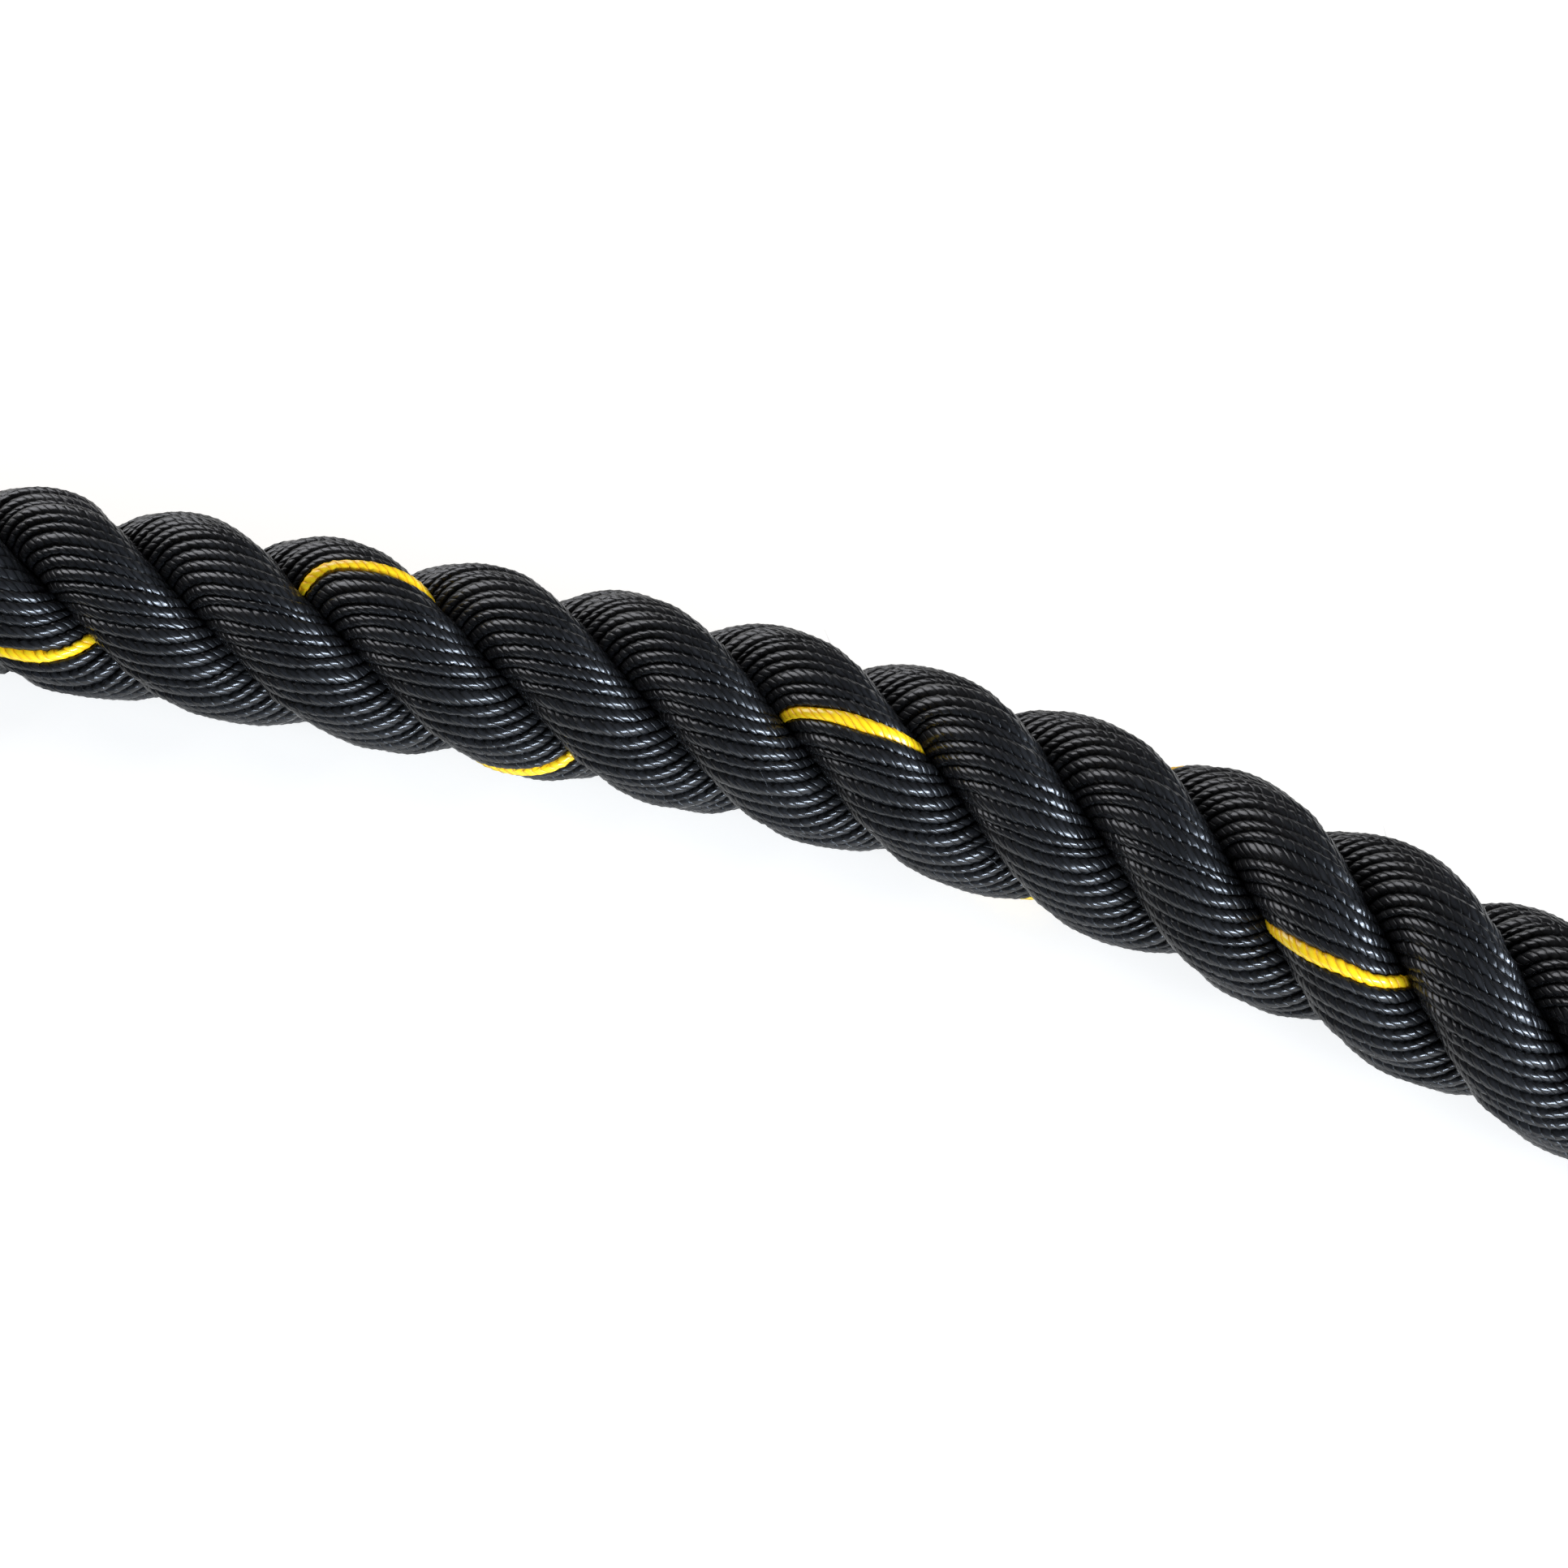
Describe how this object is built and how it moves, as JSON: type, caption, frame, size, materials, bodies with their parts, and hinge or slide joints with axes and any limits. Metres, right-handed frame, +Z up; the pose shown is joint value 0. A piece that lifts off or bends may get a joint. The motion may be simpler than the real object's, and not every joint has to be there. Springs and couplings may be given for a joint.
{
  "type": "battle rope",
  "caption": "Three-strand laid training rope with a tracer yarn, a rubber grip on each end, and its spare length in a strapped coil.",
  "frame": {"origin": "centre of the rope's footprint on the floor, at floor height", "axes": "+Z up; +X from the coil towards the free stretch and grip A; the coil is on the -X side"},
  "size_m": [0.9828, 0.4648, 0.1944],
  "materials": {
    "rope_polyester": "satin",
    "tracer_yarn": "satin",
    "grip_rubber": "satin",
    "end_tape": "matte",
    "strap_webbing": "matte"
  },
  "bodies": {
    "root": {"rope_stretch": "rope_polyester", "rope_coil": "rope_polyester", "grip_sleeve_a": "grip_rubber", "grip_sleeve_b": "grip_rubber", "end_tape_a": "end_tape", "end_tape_b": "end_tape", "strand_end_a1": "rope_polyester", "strand_end_a2": "rope_polyester", "strand_end_a3": "rope_polyester", "strand_end_b1": "rope_polyester", "strand_end_b2": "rope_polyester", "strand_end_b3": "rope_polyester", "coil_strap_1": "strap_webbing", "coil_strap_2": "strap_webbing", "coil_strap_3": "strap_webbing"}
  },
  "joints": []
}
